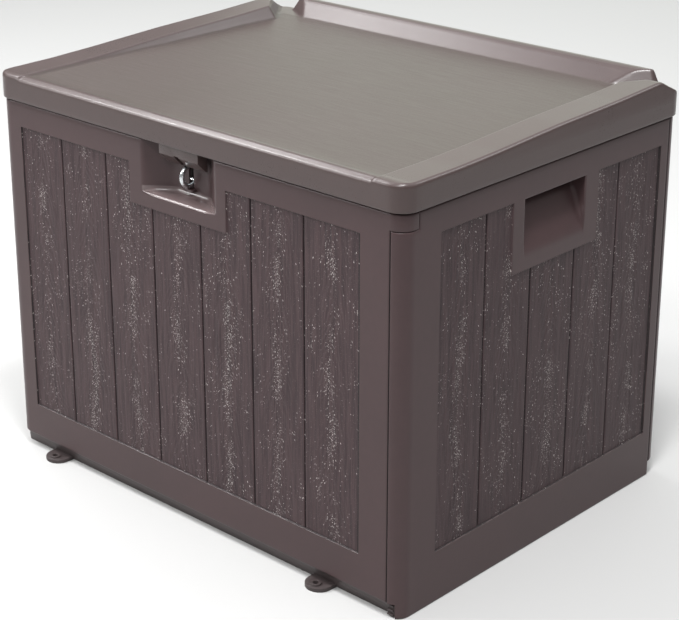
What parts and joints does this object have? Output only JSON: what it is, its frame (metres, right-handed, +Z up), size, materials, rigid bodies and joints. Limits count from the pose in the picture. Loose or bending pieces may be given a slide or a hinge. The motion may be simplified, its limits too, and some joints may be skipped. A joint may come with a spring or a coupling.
{
  "type": "deck storage box",
  "caption": "Upright resin deck storage box with plank-look walls, a rimmed hinged lid, a recessed slotted hasp with a steel padlock ring, side grips and anchor ears.",
  "frame": {"origin": "middle of the footprint on the ground", "axes": "+Z up, the front with the latch faces -Y, +X to the right seen from the front"},
  "size_m": [0.586, 0.47, 0.4575],
  "materials": {
    "wall_resin": "dark brown injection-moulded resin, satin smooth frame with embossed wood grain on the planks",
    "lid_resin": "dark brown injection-moulded resin, satin with a fine grained top that reflects grey",
    "tray_resin": "darker brown resin, matt",
    "zinc_steel": "bright zinc-plated steel",
    "black_steel": "dark powder coat"
  },
  "bodies": {
    "box": {"front_panel": "wall_resin", "back_panel": "wall_resin", "left_side_panel": "wall_resin", "right_side_panel": "wall_resin", "floor_tray": "tray_resin", "hinge_left_body_leaf": "black_steel", "hinge_right_body_leaf": "black_steel", "hinge_left_pin": "zinc_steel", "hinge_right_pin": "zinc_steel", "hinge_left_body_screw_1": "zinc_steel", "hinge_left_body_screw_2": "zinc_steel", "hinge_right_body_screw_1": "zinc_steel", "hinge_right_body_screw_2": "zinc_steel", "ring_pin": "zinc_steel"},
    "lid": {"lid": "lid_resin", "hasp_tongue": "lid_resin", "hasp_screw_left": "zinc_steel", "hasp_screw_right": "zinc_steel", "hinge_left_lid_leaf": "black_steel", "hinge_right_lid_leaf": "black_steel", "hinge_left_lid_screw_1": "zinc_steel", "hinge_left_lid_screw_2": "zinc_steel", "hinge_right_lid_screw_1": "zinc_steel", "hinge_right_lid_screw_2": "zinc_steel"},
    "ring": {"lock_ring": "zinc_steel"}
  },
  "joints": [
    {"name": "lid_hinge", "type": "hinge", "parent": "box", "child": "lid", "pos_m": [0, 0.228, 0.416], "axis": [-1, 0, 0], "range_deg": [0, 105]},
    {"name": "ring_swing", "type": "hinge", "parent": "box", "child": "ring", "pos_m": [-0.009, -0.197, 0.378], "axis": [-1, 0, 0], "range_deg": [0, 25]}
  ]
}
